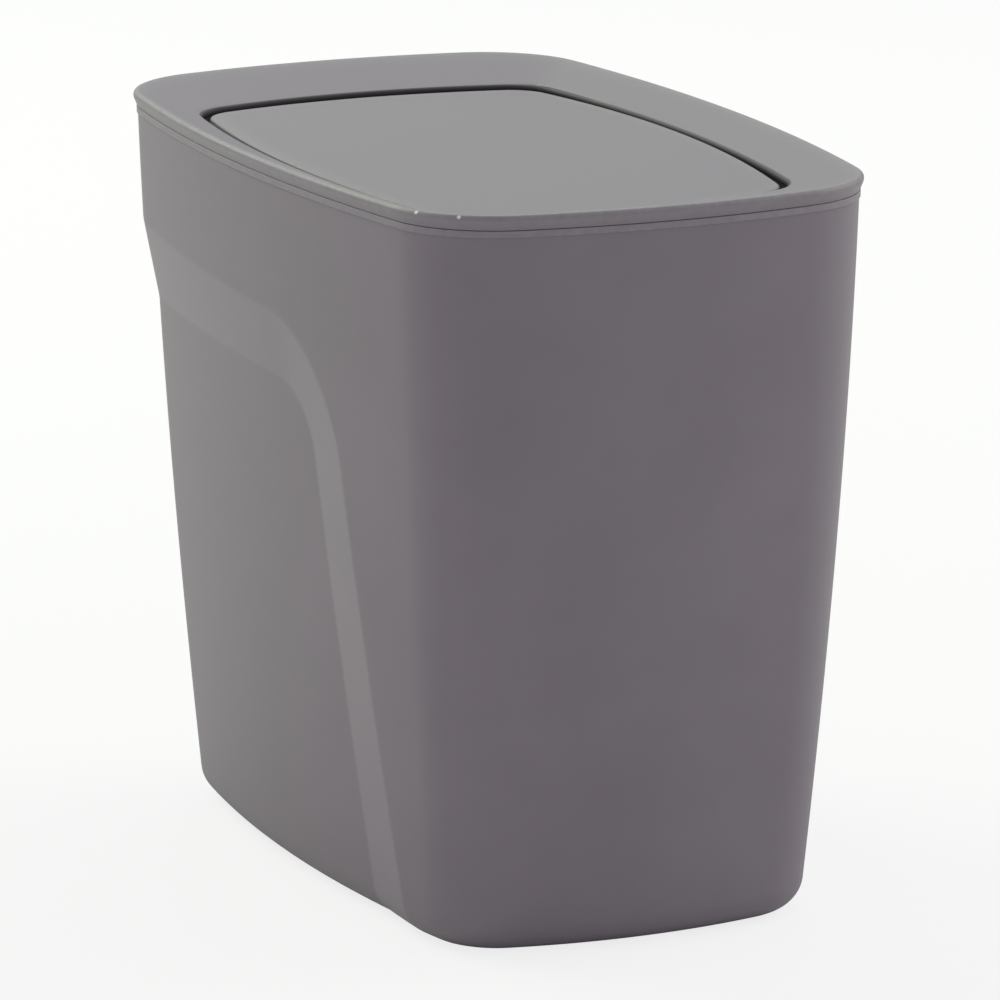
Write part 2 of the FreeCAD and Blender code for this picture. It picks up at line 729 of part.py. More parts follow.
def make_pivot_pin(label, turn):
    """Push-in pin with a flat head, turned about Z to its side of the lid."""
    body = new_body(label)
    sketch = new_sketch(body, f"{label}_profile", "XZ_Plane")
    sketch.setExpression("AttachmentOffset.Base.y", "Sizes.pivot_height")
    tip = "Sizes.flap_half_width - Sizes.flap_boss_length + Sizes.pin_head_length"
    seat = "Sizes.frame_boss_reach"
    back = "Sizes.frame_boss_reach + Sizes.pin_head_length"
    shaft = "Sizes.pin_diameter / 2"
    corners = (
        (tip, "0"),
        (tip, f"{shaft} - Sizes.pin_tip_chamfer"),
        (f"{tip} + Sizes.pin_tip_chamfer", shaft),
        (seat, shaft),
        (seat, "Sizes.pin_head_diameter / 2"),
        (back, "Sizes.pin_head_diameter / 2"),
        (back, "0"),
    )
    places = [tuple(float(SHEET.evalExpression(value)) for value in corner) for corner in corners]
    count = len(corners)
    for number in range(count):
        start = Vector(*places[number], 0)
        finish = Vector(*places[(number + 1) % count], 0)
        sketch.addGeometry(Part.LineSegment(start, finish), False)
    for number in range(count):
        sketch.addConstraint(Sketcher.Constraint("Coincident", number, 2, (number + 1) % count, 1))
    for number, (along, out) in enumerate(corners):
        constrain(sketch, f"along{number}", along, "DistanceX", -1, 1, number, 1, places[number][0])
        if out == "0":
            sketch.addConstraint(Sketcher.Constraint("PointOnObject", number, 1, -1))
        else:
            constrain(sketch, f"out{number}", out, "DistanceY", -1, 1, number, 1, places[number][1])
    turned = body.newObject("PartDesign::Revolution", f"{label}_turned")
    turned.Profile = sketch
    turned.ReferenceAxis = (sketch, ["H_Axis"])
    turned.Angle = 360.0
    body.Placement = FreeCAD.Placement(Vector(), FreeCAD.Rotation(Vector(0, 0, 1), turn))
    doc.recompute()
    return body


def export(parts):
    """Check every object and each part's solid, then write one file per part."""
    doc.recompute()
    failed = [item.Label for item in doc.Objects if {"Invalid", "Error"} & set(item.State)]
    for part in parts:
        shape = part.Shape
        if shape.isNull() or not shape.isValid() or len(shape.Solids) != 1:
            failed.append(part.Label)
    if failed:
        raise RuntimeError("not built: " + ", ".join(failed))
    os.makedirs("parts", exist_ok=True)
    for part in parts:
        solid = part.Shape.Solids[0]
        solid.exportStep(f"parts/{part.Label}.step")
        extent = solid.BoundBox
        print(f"{part.Label}: {solid.Volume / 1000:.1f} cm3,"
              f" {extent.XLength:.1f} x {extent.YLength:.1f} x {extent.ZLength:.1f} mm,"
              f" centre of mass at z {solid.CenterOfMass.z:.2f}")


export([
    make_bin_body(),
    make_lid_frame(),
    make_swing_flap(),
    make_pivot_pin("right_pivot_pin", 0),
    make_pivot_pin("left_pivot_pin", 180),
])
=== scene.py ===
"""Looks of a swing-flap waste bin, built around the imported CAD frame.

Every piece is in metres, in the frame's own axes: +Z is up, X runs across the bin along
the flap's pivot, and the plain, rounded front faces -Y. The bucket, the lid frame and the
flap are closed skins of rings that follow the same bowed outlines as the solids.
"""
from __future__ import annotations

import json
import logging
import math
from dataclasses import astuple, dataclass
from enum import Enum
from typing import ClassVar, NamedTuple

import bpy
import numpy as np
from bpy.types import ID, Material, Node, NodeSocket, NodeTree, Object, World
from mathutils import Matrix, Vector

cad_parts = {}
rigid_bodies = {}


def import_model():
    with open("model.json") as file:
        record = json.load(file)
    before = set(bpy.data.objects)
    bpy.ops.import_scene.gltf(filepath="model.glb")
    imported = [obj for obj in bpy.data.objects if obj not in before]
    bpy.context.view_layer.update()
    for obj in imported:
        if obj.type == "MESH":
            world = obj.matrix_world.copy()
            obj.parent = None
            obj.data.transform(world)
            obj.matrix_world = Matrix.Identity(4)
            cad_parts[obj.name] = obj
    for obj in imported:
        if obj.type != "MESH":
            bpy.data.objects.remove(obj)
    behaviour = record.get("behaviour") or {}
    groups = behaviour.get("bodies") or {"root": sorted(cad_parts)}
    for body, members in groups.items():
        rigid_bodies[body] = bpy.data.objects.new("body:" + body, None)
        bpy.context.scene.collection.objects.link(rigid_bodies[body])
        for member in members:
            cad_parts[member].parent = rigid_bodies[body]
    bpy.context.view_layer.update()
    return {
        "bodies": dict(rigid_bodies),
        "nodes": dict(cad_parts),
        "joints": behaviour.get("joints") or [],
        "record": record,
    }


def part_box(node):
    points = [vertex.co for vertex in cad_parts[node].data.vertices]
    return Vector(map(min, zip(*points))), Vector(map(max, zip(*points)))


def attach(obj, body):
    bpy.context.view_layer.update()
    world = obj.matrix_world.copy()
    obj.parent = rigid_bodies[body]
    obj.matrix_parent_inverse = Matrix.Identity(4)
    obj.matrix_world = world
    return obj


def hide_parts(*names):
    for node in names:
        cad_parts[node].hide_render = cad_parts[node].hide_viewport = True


LOG = logging.getLogger("waste_bin")
MM = 0.001
SHARP_TURN = math.radians(38)
MERGE_DISTANCE = 0.001 * MM
ROUND_STEPS = 48
RIB_STEPS = 40
END_SAMPLES = 200
END_GAP = 2.6 * MM
# Range that holds nearly all values of Blender's noise
NOISE_LOW, NOISE_HIGH = 0.3, 0.7

Numbers = float | np.ndarray
Point = tuple[float, float, float]


class Arc(Enum):
    """Stretch of a bowed outline within one quarter of it."""

    END = "end"
    CORNER = "corner"
    SIDE = "side"


class Body(Enum):
    """Moving body of the frame that a piece rides on."""

    BIN = "bin"
    LID = "lid"
    FLAP = "flap"


class Slot(Enum):
    """Material slot of the record that a piece takes its finish from."""

    BIN = "bin_plastic"
    LID = "lid_plastic"
    FLAP = "flap_plastic"
    PIN = "pin_plastic"


def mix(low: Numbers, high: Numbers, share: Numbers) -> Numbers:
    """Value, or array of values, a share of the way from low to high."""
    return low + (high - low) * share


def linear(hex_colour: str) -> tuple[float, float, float, float]:
    """Turn an sRGB hex colour into the linear RGBA that shaders take.

    Args:
        hex_colour: Colour as six hex digits after a hash sign.

    Returns:
        Linear red, green and blue, and an alpha of 1.
    """
    channels = [int(hex_colour[place:place + 2], 16) / 255 for place in (1, 3, 5)]
    bent = [c / 12.92 if c <= 0.04045 else ((c + 0.055) / 1.055) ** 2.4 for c in channels]
    return (*bent, 1.0)


def add(tree: NodeTree, kind: str, inputs: dict | None = None, **settings) -> Node:
    """Add one node with its settings and links.

    Args:
        tree: Node tree that gets the node.
        kind: Blender's type name of the node.
        inputs: Input names or numbers, each with a value or with the socket that feeds it.
        **settings: Properties of the node itself.

    Returns:
        The new node.
    """
    node = tree.nodes.new(kind)
    for name, value in settings.items():
        setattr(node, name, value)
    for key, value in (inputs or {}).items():
        if isinstance(value, NodeSocket):
            tree.links.new(value, node.inputs[key])
        else:
            node.inputs[key].default_value = value
    return node


def bare_tree(owner: Material | World) -> NodeTree:
    """Emptied node tree of a material or of the world."""
    owner.use_nodes = True
    owner.node_tree.nodes.clear()
    return owner.node_tree


def maths(tree: NodeTree, operation: str, *values: float | NodeSocket) -> NodeSocket:
    """Socket with the result of one sum of numbers and sockets."""
    return add(tree, "ShaderNodeMath", dict(enumerate(values)), operation=operation).outputs["Value"]


def attribute(tree: NodeTree, name: str) -> NodeSocket:
    """Socket with a mesh attribute's value in a material."""
    return add(tree, "ShaderNodeAttribute", attribute_name=name).outputs["Fac"]


def noise(tree: NodeTree, place: NodeSocket, size: float, detail: float) -> NodeSocket:
    """Socket with noise that has about one feature per size, in metres."""
    node = add(tree, "ShaderNodeTexNoise", {"Vector": place, "Scale": 1 / size, "Detail": detail})
    return node.outputs["Fac"]


def spread(tree: NodeTree, value: NodeSocket, low: float, high: float) -> NodeSocket:
    """Socket with noise brought into a range of its own."""
    return add(tree, "ShaderNodeMapRange", {
        "Value": value, "From Min": NOISE_LOW, "From Max": NOISE_HIGH,
        "To Min": low, "To Max": high}).outputs["Result"]


def blend(tree: NodeTree, share: NodeSocket, colour: NodeSocket, over: str) -> NodeSocket:
    """Socket with a colour that a share of another one, given as sRGB hex, covers."""
    return add(tree, "ShaderNodeMix", {"Factor": share, "A": colour, "B": linear(over)},
               data_type="RGBA").outputs["Result"]


def direction(azimuth: float, elevation: float) -> Vector:
    """Unit vector away from the bin: azimuth 0 is the front, and 90 degrees the bin's right."""
    level = math.cos(elevation)
    return Vector((math.sin(azimuth) * level, -math.cos(azimuth) * level, math.sin(elevation)))


def linked(name: str, data: ID) -> Object:
    """New object in the scene for a mesh, a lamp or a camera."""
    piece = bpy.data.objects.new(name, data)
    bpy.context.scene.collection.objects.link(piece)
    return piece


def aimed(name: str, data: ID, target: Point, away: Vector) -> Object:
    """Put a lamp or a camera in the scene, looking back at its target.

    Args:
        name: Name of the object.
        data: The lamp or camera.
        target: Point that it looks at.
        away: Way from the target to the object.

    Returns:
        The new object.
    """
    holder = linked(name, data)
    holder.location = Vector(target) + away
    holder.rotation_euler = away.to_track_quat("Z", "Y").to_euler()
    return holder


@dataclass(frozen=True)
class BowedOutline:
    """Rectangle with bowed ends and sides and tangent corner arcs, at one level.

    Offsets keep every arc's centre, so an inset only shortens the radii.
    """

    half_width: float
    half_depth: float
    end_radius: float
    side_radius: float
    corner_radius: float

    def inset(self, amount: float) -> BowedOutline:
        """The outline moved inwards by an amount."""
        return BowedOutline(*(value - amount for value in astuple(self)))

    @property
    def corner_centre(self) -> tuple[float, float]:
        """Centre of the arc that touches the +Y end and the +X side from inside.

        Returns:
            Its place across and along.
        """
        end_reach = self.end_radius - self.corner_radius
        side_reach = self.side_radius - self.corner_radius
        end_y = self.half_depth - self.end_radius
        side_x = self.half_width - self.side_radius
        span = math.hypot(side_x, end_y)
        along = (side_reach**2 - end_reach**2 + span**2) / (2 * span)
        across = math.sqrt(side_reach**2 - along**2)
        return (side_x - (along * side_x + across * end_y) / span,
                (along * end_y - across * side_x) / span)

    @property
    def end_turn(self) -> float:
        """Angle from +X at which the end arc meets its corner."""
        corner_x, corner_y = self.corner_centre
        return math.atan2(corner_y - self.half_depth + self.end_radius, corner_x)

    @property
    def side_turn(self) -> float:
        """Angle from +X at which the side arc meets its corner."""
        corner_x, corner_y = self.corner_centre
        return math.atan2(corner_y, corner_x - self.half_width + self.side_radius)

    @property
    def side_reach(self) -> float:
        """Place along Y at which the side arc ends."""
        return self.side_radius * math.sin(self.side_turn)

    def stretch(self, arc: Arc, shares: np.ndarray) -> np.ndarray:
        """Stations of one arc of the +X +Y quarter, from the end towards the side.

        Args:
            arc: Which arc of the quarter.
            shares: Shares of the way along that arc.

        Returns:
            One row per share: place across and along, and the outward direction's two parts.
        """
        centre, radius, start, finish = {
            Arc.END: ((0.0, self.half_depth - self.end_radius), self.end_radius,
                      math.pi / 2, self.end_turn),
            Arc.CORNER: (self.corner_centre, self.corner_radius, self.end_turn, self.side_turn),
            Arc.SIDE: ((self.half_width - self.side_radius, 0.0), self.side_radius,
                       self.side_turn, 0.0),
        }[arc]
        turn = mix(start, finish, shares)
        out = np.stack([np.cos(turn), np.sin(turn)], axis=1)
        return np.hstack([np.array(centre) + radius * out, out])

    def side_at(self, places: np.ndarray) -> np.ndarray:
        """Stations of the whole +X side.

        Args:
            places: Places of the stations along Y.

        Returns:
            One row per station, in the form that stretch gives.
        """
        turn = np.arcsin(places / self.side_radius)
        out = np.stack([np.cos(turn), np.sin(turn)], axis=1)
        centre = np.array((self.half_width - self.side_radius, 0.0))
        return np.hstack([centre + self.side_radius * out, out])


def whole_loop(right_half: np.ndarray) -> np.ndarray:
    """Close a right half, from the front's middle to the rear's, with its mirror image."""
    left_half = right_half[-2:0:-1] * (-1, 1, -1, 1)
    return np.vstack([right_half, left_half])


def even_loop(outline: BowedOutline, counts: dict[Arc, int]) -> np.ndarray:
    """Stations round an outline with a fixed count on each arc of a quarter.

    Args:
        outline: Outline to walk round, counter-clockwise seen from above.
        counts: Number of steps on each arc.

    Returns:
        One row per station, in the form that stretch gives.
    """
    quarter = np.vstack([
        outline.stretch(arc, np.arange(count) / count) for arc, count in counts.items()
    ] + [outline.stretch(Arc.SIDE, np.ones(1))])
    front = quarter * (1, -1, 1, -1)
    return whole_loop(np.vstack([front, quarter[-2::-1]]))


def at_height(loop: np.ndarray, height: Numbers) -> np.ndarray:
    """Points of a loop, lifted to one height or to one height per station."""
    return np.column_stack([loop[:, :2], np.broadcast_to(height, len(loop))])


def spine_of(ring: np.ndarray, reach: float) -> np.ndarray:
    """Line along Y on which a ring closes, with one point for each point of the ring."""
    return np.column_stack([np.zeros(len(ring)), np.clip(ring[:, 1], -reach, reach), ring[:, 2]])


def skin(name: str, rings: list[np.ndarray], closed: bool = False, **attributes) -> Object:
    """Mesh object of quads through rings of equally many points.

    Args:
        name: Name of the object.
        rings: Rings in order, so that walking on and turning left faces outwards.
        closed: Whether the last ring joins the first one.
        **attributes: Values per ring, or per point, kept on the mesh under their names.

    Returns:
        The new object, linked to the scene.
    """
    points = np.array(rings)
    count, size = points.shape[:2]
    index = np.arange(count * size).reshape(count, size)
    if closed:
        index = np.vstack([index, index[:1]])
    after = np.roll(index, -1, axis=1)
    quads = np.stack([index[:-1], after[:-1], after[1:], index[1:]], axis=-1).reshape(-1, 4)
    mesh = bpy.data.meshes.new(name)
    mesh.from_pydata(points.reshape(-1, 3).tolist(), [], quads.tolist())
    for key, values in attributes.items():
        values = np.array(values, float)
        if values.ndim == 1:
            values = np.repeat(values[:, None], size, axis=1)
        kind, field = ("FLOAT_VECTOR", "vector") if values.ndim == 3 else ("FLOAT", "value")
        mesh.attributes.new(key, kind, "POINT").data.foreach_set(field, values.ravel())
    return linked(name, mesh)


def finish_mesh(piece: Object) -> None:
    """Merge the points that a spine doubles, and shade smooth but for the sharp edges.

    Args:
        piece: Object that gets the finished mesh.
    """
    bpy.context.view_layer.objects.active = piece
    weld = piece.modifiers.new("Closed spine", "WELD")
    weld.merge_threshold = MERGE_DISTANCE
    plain_mesh(piece)
    piece.data.shade_smooth()
    piece.data.set_sharp_from_angle(angle=SHARP_TURN)


def plain_mesh(piece: Object) -> None:
    """Replace a piece's mesh with what its modifiers make of it, and remove them.

    Args:
        piece: Object with the modifiers.
    """
    graph = bpy.context.evaluated_depsgraph_get()
    made = bpy.data.meshes.new_from_object(piece.evaluated_get(graph), depsgraph=graph)
    piece.modifiers.clear()
    piece.data = made
    made.name = piece.name


def circle(place: float, radius: float, height: float) -> np.ndarray:
    """Ring of points round an axis along X, at a place along it."""
    turn = np.arange(ROUND_STEPS) / ROUND_STEPS * 2 * math.pi
    return np.column_stack([
        np.full(ROUND_STEPS, place), radius * np.cos(turn), height + radius * np.sin(turn)])


def boss_pair(radius: float, bore: float, near: float, far: float, height: float) -> list[Object]:
    """Make two bored bosses along X that mirror each other.

    Args:
        radius: Outer radius.
        bore: Radius of the hole.
        near: Distance of the inner faces from the middle.
        far: Distance of the outer faces from the middle.
        height: Height of the axis.

    Returns:
        The right boss and the left one.
    """
    bosses = []
    for side in (1, -1):
        start, finish = sorted((side * near, side * far))
        corners = ((start, bore), (start, radius), (finish, radius), (finish, bore))
        rings = [circle(place, reach, height) for place, reach in corners]
        bosses.append(skin("boss", rings, closed=True))
    return bosses


class Row(NamedTuple):
    """One ring of a skin, with how much its edge is worn and painted highlit, and how much painted shade it
    holds.
    """

    points: np.ndarray
    wear: float = 0.0
    grime: float = 0.0


class WallRow(NamedTuple):
    """One ring of the bucket, with its outward directions, share of the recess, and wear with painted
    highlight.
    """

    points: np.ndarray
    outwards: np.ndarray
    step_share: float
    wear: float


@dataclass(frozen=True)
class Scuff:
    """Small pale nick on an edge."""

    place: Point
    radius: float

    def share(self, tree: NodeTree, place: NodeSocket) -> NodeSocket:
        """Socket with the nick's share of the colour at a place, from none to all."""
        away = add(tree, "ShaderNodeVectorMath", {0: place, 1: self.place}, operation="DISTANCE")
        return add(tree, "ShaderNodeMapRange", {
            "Value": away.outputs["Value"], "From Min": self.radius, "From Max": self.radius / 2,
        }).outputs["Result"]


@dataclass(frozen=True)
class MouldedPolypropylene:
    """Coloured polypropylene, injection moulded against a spark-eroded matt tool.

    The eye sees a soft, broad sheen over a fine even grain, faint flow clouds where the
    melt met, edges that hands have polished a little paler and that carry some painted
    highlight, painted light on the bucket's shoulder, and painted shade without sheen in the flap's gap.
    """

    name: str
    colour: str
    # Paler colour of worn edges, which also stands for painted highlight
    worn_and_highlight_colour: str = "#A6A3A6"
    nick_colour: str = "#E9E7E6"
    # Dark colour of the painted shade in the flap's gap
    painted_gap_shade_colour: str = "#2E2A2E"
    roughness: float = 0.5
    gloss_spread: float = 0.03
    refraction: float = 1.49
    sheen: float = 0.5
    cloud_size: float = 45 * MM
    cloud_depth: float = 0.05
    # Real grain is about 0.3 mm; it is drawn three times coarser, or it would not show
    grain_size: float = 0.9 * MM
    grain_depth: float = 0.012 * MM
    scratch_size: float = 2.5 * MM
    wear: float = 0.35
    # Painted light: the bucket's shoulder is drawn paler than the wall, as if more light fell on it
    painted_shoulder_light: float = 0.14
    scuffs: tuple[Scuff, ...] = ()

    def material(self) -> Material:
        """Build the node material.

        Returns:
            The new material.
        """
        material = bpy.data.materials.new(self.name)
        tree = bare_tree(material)
        place = add(tree, "ShaderNodeTexCoord").outputs["Object"]
        clouds = noise(tree, place, self.cloud_size, 3.0)
        grain = noise(tree, place, self.grain_size, 2.0)
        scratches = noise(tree, place, self.scratch_size, 6.0)
        # Painted shade in the flap's gap: its mark darkens the colour and takes the sheen away
        grime = attribute(tree, "grime")
        shade = spread(tree, clouds, 1 - self.cloud_depth, 1 + self.cloud_depth)
        # Painted light on the bucket's shoulder: its colour is lifted there
        shoulder_light_factor = maths(tree, "MULTIPLY_ADD", attribute(tree, "shoulder"), self.painted_shoulder_light, 1.0)
        colour = linear(self.colour)[:3]
        for factor in (shade, shoulder_light_factor):
            colour = add(tree, "ShaderNodeVectorMath", {0: colour, 1: factor},
                         operation="MULTIPLY").outputs["Vector"]
        # Edges are paler, partly as wear and partly as painted highlight
        broken = spread(tree, scratches, self.wear / 3, self.wear)
        worn_and_highlight = maths(tree, "MULTIPLY", attribute(tree, "wear"), broken)
        colour = blend(tree, worn_and_highlight, colour, self.worn_and_highlight_colour)
        colour = blend(tree, grime, colour, self.painted_gap_shade_colour)
        for scuff in self.scuffs:
            colour = blend(tree, scuff.share(tree, place), colour, self.nick_colour)
        gloss = spread(tree, clouds, self.roughness - self.gloss_spread, self.roughness + self.gloss_spread)
        sheen_under_painted_shade = add(tree, "ShaderNodeMapRange", {"Value": grime, "To Min": self.sheen, "To Max": 0.0})
        bump = add(tree, "ShaderNodeBump", {
            "Height": grain, "Distance": self.grain_depth, "Strength": 1.0})
        shader = add(tree, "ShaderNodeBsdfPrincipled", {
            "Base Color": colour, "Roughness": gloss, "IOR": self.refraction,
            "Specular IOR Level": sheen_under_painted_shade.outputs["Result"], "Normal": bump.outputs["Normal"]})
        add(tree, "ShaderNodeOutputMaterial", {"Surface": shader.outputs["BSDF"]})
        return material


@dataclass(frozen=True)
class ShoulderEdge:
    """One edge of the bucket's sloping shoulder, seen from the side: a run, a bend and a leg."""

    run_height: float
    run_slope: float
    leg_foot: float
    bend: float
    leg_lean: float = 0.15

    def leg_at(self, height: float) -> float:
        """Place along Y of the leg's line at a height."""
        return self.leg_foot + self.leg_lean * height

    def inputs(self, name: str) -> dict[str, float]:
        """The edge's sizes under the names that the node tree gives them."""
        return {
            f"{name} Run Height": self.run_height, f"{name} Run Slope": self.run_slope,
            f"{name} Leg Foot": self.leg_foot, f"{name} Leg Lean": self.leg_lean,
            f"{name} Bend": self.bend,
        }


class SteppedWall:
    """Geometry node tree that steps a wall in behind the shoulder's two edges."""

    def __init__(self, sizes: dict[str, float]) -> None:
        """Build the tree, with one named input per size.

        Args:
            sizes: Names of the inputs, each with the size that it gets.
        """
        self.sizes = sizes
        self.tree = bpy.data.node_groups.new("Stepped wall", "GeometryNodeTree")
        sockets = self.tree.interface
        sockets.new_socket("Wall", in_out="INPUT", socket_type="NodeSocketGeometry")
        for name in sizes:
            sockets.new_socket(name, in_out="INPUT", socket_type="NodeSocketFloat")
        sockets.new_socket("Finish", in_out="INPUT", socket_type="NodeSocketMaterial")
        sockets.new_socket("Wall", in_out="OUTPUT", socket_type="NodeSocketGeometry")
        self.given = add(self.tree, "NodeGroupInput").outputs
        place = add(self.tree, "GeometryNodeInputPosition").outputs["Position"]
        parts = add(self.tree, "ShaderNodeSeparateXYZ", {0: place})
        self.along, self.height = parts.outputs["Y"], parts.outputs["Z"]
        self._step()

    def _math(self, operation: str, *values: float | NodeSocket) -> NodeSocket:
        """Result of one sum of numbers and sockets in this tree."""
        return maths(self.tree, operation, *values)

    def _named(self, name: str, kind: str) -> NodeSocket:
        """Value of one of the mesh's own attributes, of a kind such as FLOAT."""
        return add(self.tree, "GeometryNodeInputNamedAttribute", {"Name": name},
                   data_type=kind).outputs["Attribute"]

    def _inside(self, name: str) -> NodeSocket:
        """Distance inside an edge, with the corner between its run and its leg rounded.

        Args:
            name: Name of the edge, as its inputs begin.

        Returns:
            Socket with the distance, negative outside the edge.
        """
        parts = ("Run Height", "Run Slope", "Leg Foot", "Leg Lean", "Bend")
        run_height, slope, foot, lean, bend = (self.given[f"{name} {part}"] for part in parts)
        leg = self._math("MULTIPLY_ADD", lean, self.height, foot)
        run = self._math("MULTIPLY_ADD", slope, self.along, run_height)
        behind = self._math("SUBTRACT", self.along, leg)
        below = self._math("SUBTRACT", run, self.height)
        missing = [
            self._math("MAXIMUM", self._math("SUBTRACT", bend, distance), 0.0)
            for distance in (behind, below)
        ]
        corner = add(self.tree, "ShaderNodeCombineXYZ", dict(enumerate(missing)))
        reach = add(self.tree, "ShaderNodeVectorMath", {0: corner.outputs["Vector"]}, operation="LENGTH")
        return self._math("SUBTRACT", bend, reach.outputs["Value"])

    def _clear_of_edge(self, share: NodeSocket) -> NodeSocket:
        """Socket that rises from zero at an edge of the shoulder to one past its soft edge."""
        return add(self.tree, "ShaderNodeMapRange", {
            "Value": share, "From Max": self.given["Edge Softness"]}).outputs["Result"]

    def _step(self) -> None:
        """Move each point in against its outward direction, and mark how far it is on the shoulder."""
        outer, inner = self._inside("Outer"), self._inside("Inner")
        ramp = self._math("DIVIDE", outer, self._math("SUBTRACT", outer, inner))
        softness = self.given["Edge Softness"]
        left_over = self._math("SUBTRACT", 1.0, ramp)
        shoulder = self._math("MULTIPLY", self._clear_of_edge(ramp), self._clear_of_edge(left_over))
        ramp = self._math("SMOOTH_MAX", self._math("SMOOTH_MIN", ramp, 1.0, softness), 0.0, softness)
        depth = self._math("MULTIPLY", self._math("MULTIPLY", ramp, self.given["Recess Depth"]),
                           self._named("step_share", "FLOAT"))
        offset = add(self.tree, "ShaderNodeVectorMath", {
            0: self._named("outwards", "FLOAT_VECTOR"), "Scale": self._math("MULTIPLY", depth, -1.0)},
            operation="SCALE")
        moved = add(self.tree, "GeometryNodeSetPosition", {
            "Geometry": self.given["Wall"], "Offset": offset.outputs["Vector"]})
        bare = moved.outputs["Geometry"]
        for name in ("step_share", "outwards"):
            bare = add(self.tree, "GeometryNodeRemoveAttribute", {
                "Geometry": bare, "Name": name}).outputs["Geometry"]
        # This shoulder mark carries the painted light on the shoulder
        marked = add(self.tree, "GeometryNodeStoreNamedAttribute", {
            "Geometry": bare, "Name": "shoulder", "Value": shoulder}, data_type="FLOAT", domain="POINT")
        whole = add(self.tree, "GeometryNodeRealizeInstances", {"Geometry": marked.outputs["Geometry"]})
        dressed = add(self.tree, "GeometryNodeSetMaterial", {
            "Geometry": whole.outputs["Geometry"], "Material": self.given["Finish"]})
        add(self.tree, "NodeGroupOutput", {"Wall": dressed.outputs["Geometry"]})

    def apply(self, piece: Object, finish: Material) -> None:
        """Step a wall that has the attributes which the tree reads, and set its material."""
        run_tree(piece, self.tree, {**self.sizes, "Finish": finish})


def run_tree(piece: Object, tree: NodeTree, values: dict) -> None:
    """Run a geometry node tree on a piece and keep the result as its plain mesh.

    Args:
        piece: Object that gets the tree's result.
        tree: Geometry node tree.
        values: Values of the tree's inputs by name.
    """
    modifier = piece.modifiers.new(tree.name, "NODES")
    modifier.node_group = tree
    for item in tree.interface.items_tree:
        if item.in_out == "INPUT" and item.name in values:
            modifier[item.identifier] = values[item.name]
    plain_mesh(piece)


